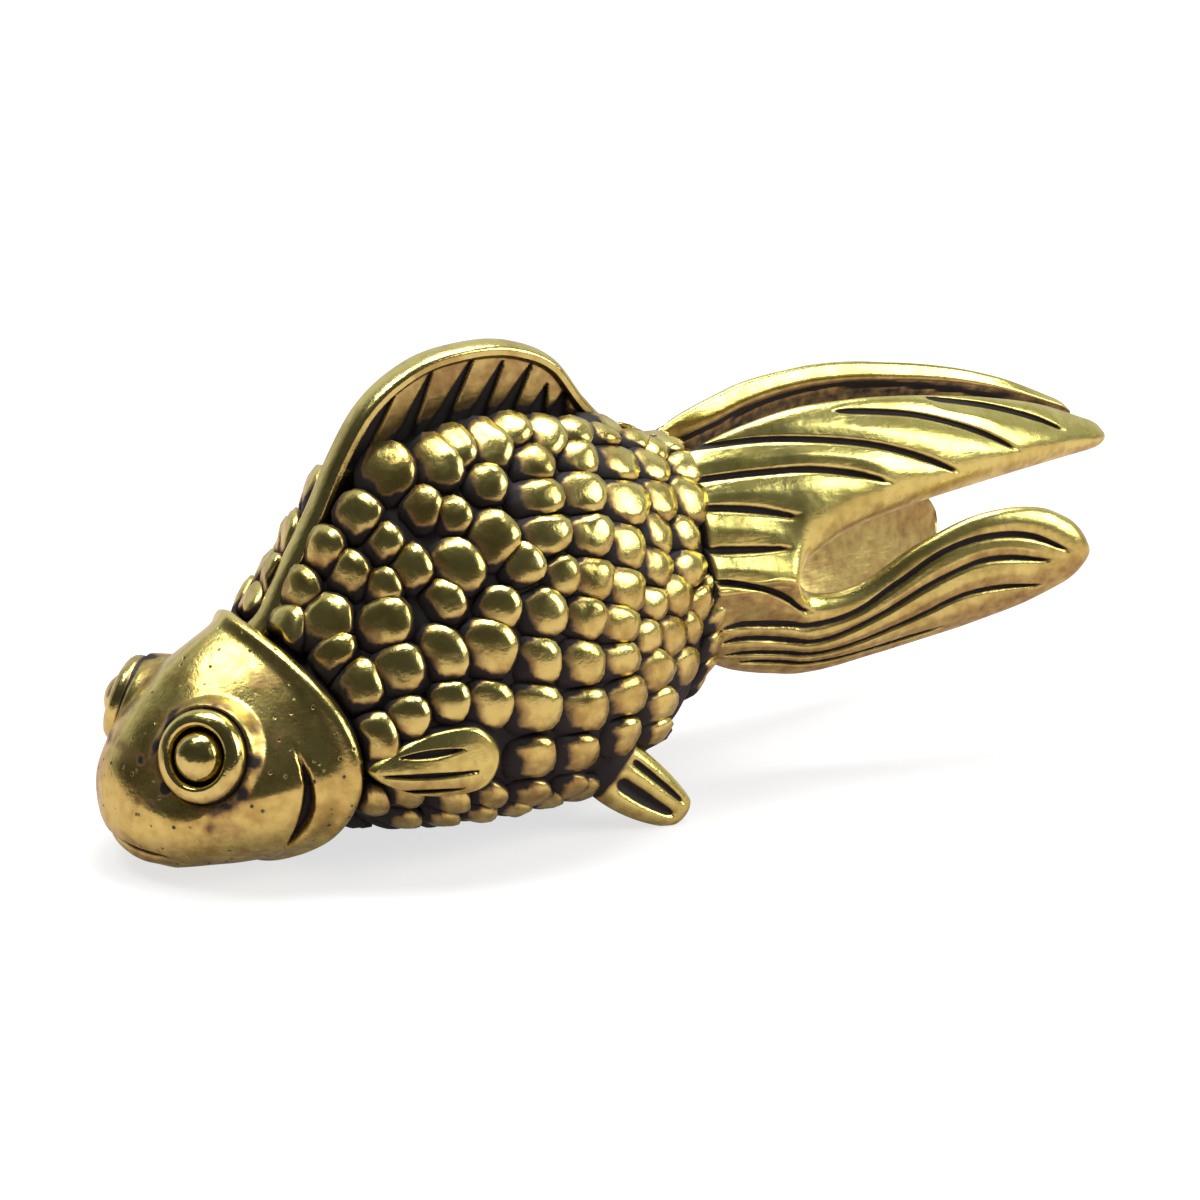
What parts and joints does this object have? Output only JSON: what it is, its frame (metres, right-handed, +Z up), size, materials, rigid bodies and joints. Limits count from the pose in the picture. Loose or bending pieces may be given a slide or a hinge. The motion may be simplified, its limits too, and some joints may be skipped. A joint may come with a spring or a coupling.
{
  "type": "fish figurine",
  "caption": "Small solid brass goldfish ornament with raised scales, a tall back fin, ringed eyes and a forked double tail, standing on its chin and two belly fins.",
  "frame": {"origin": "on the surface that the fish stands on, under the middle of its bounding box", "axes": "+X from the snout towards the tail, +Y towards the fish's own right flank, +Z up"},
  "size_m": [0.0478, 0.0176, 0.02],
  "materials": {
    "cast_scales": "cast scales with polished crowns and near-black patina between them",
    "polished_brass": "hand-polished antique brass with dark patina in the grooves",
    "fin_brass": "brushed and polished antique brass, dark in the ray grooves"
  },
  "bodies": {
    "root": {"body": "cast_scales", "head": "polished_brass", "dorsal_fin": "fin_brass", "tail_left": "fin_brass", "tail_right": "fin_brass", "pectoral_fin_left": "fin_brass", "pectoral_fin_right": "fin_brass", "pelvic_fin_left": "fin_brass", "pelvic_fin_right": "fin_brass", "eye_ring_left": "polished_brass", "eye_ring_right": "polished_brass", "pupil_left": "polished_brass", "pupil_right": "polished_brass"}
  },
  "joints": []
}
